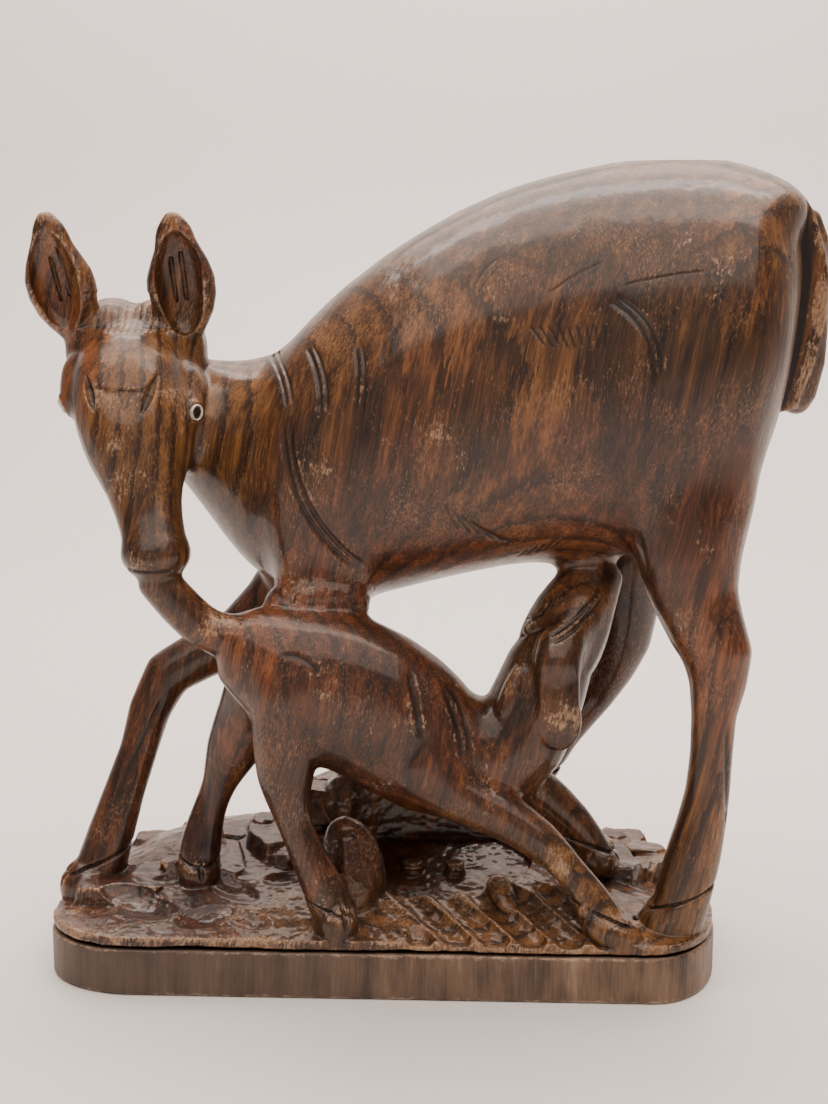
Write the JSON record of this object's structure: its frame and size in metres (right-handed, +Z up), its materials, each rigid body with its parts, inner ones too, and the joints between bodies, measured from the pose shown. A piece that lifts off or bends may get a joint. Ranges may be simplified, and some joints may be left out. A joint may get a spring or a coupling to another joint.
{
  "type": "carved doe and fawn statue",
  "caption": "Carved hardwood statue of a doe nursing her fawn on a rocky ground over a rounded plinth, with inlaid eyes.",
  "frame": {"origin": "centre of the plinth's underside, where the statue rests", "axes": "+X along the plinth towards the doe's rump, +Y from the fawn's side to the back, +Z up"},
  "size_m": [0.3876, 0.1505, 0.396],
  "materials": {
    "carved_wood": "dark reddish-brown hardwood under worn gloss lacquer",
    "plinth_wood": "the same wood, paler and half matt, stained at its ends",
    "bone_inlay": "pale bone, satin",
    "dark_inlay": "near-black horn, polished"
  },
  "bodies": {
    "root": {"plinth": "plinth_wood", "ground": "carved_wood", "rock_pile": "carved_wood", "boulder": "carved_wood", "doe_body": "carved_wood", "doe_neck": "carved_wood", "doe_head": "carved_wood", "doe_tail": "carved_wood", "doe_ear_left": "carved_wood", "doe_ear_right": "carved_wood", "doe_foreleg_left": "carved_wood", "doe_foreleg_right": "carved_wood", "doe_hindleg_left": "carved_wood", "doe_hindleg_right": "carved_wood", "doe_eye_ring_left": "bone_inlay", "doe_eye_ring_right": "bone_inlay", "doe_pupil_left": "dark_inlay", "doe_pupil_right": "dark_inlay", "fawn_body": "carved_wood", "fawn_neck": "carved_wood", "fawn_head": "carved_wood", "fawn_tail": "carved_wood", "fawn_ear_left": "carved_wood", "fawn_ear_right": "carved_wood", "fawn_foreleg_left": "carved_wood", "fawn_foreleg_right": "carved_wood", "fawn_hindleg_left": "carved_wood", "fawn_hindleg_right": "carved_wood", "carver_bridge": "carved_wood"}
  },
  "joints": []
}
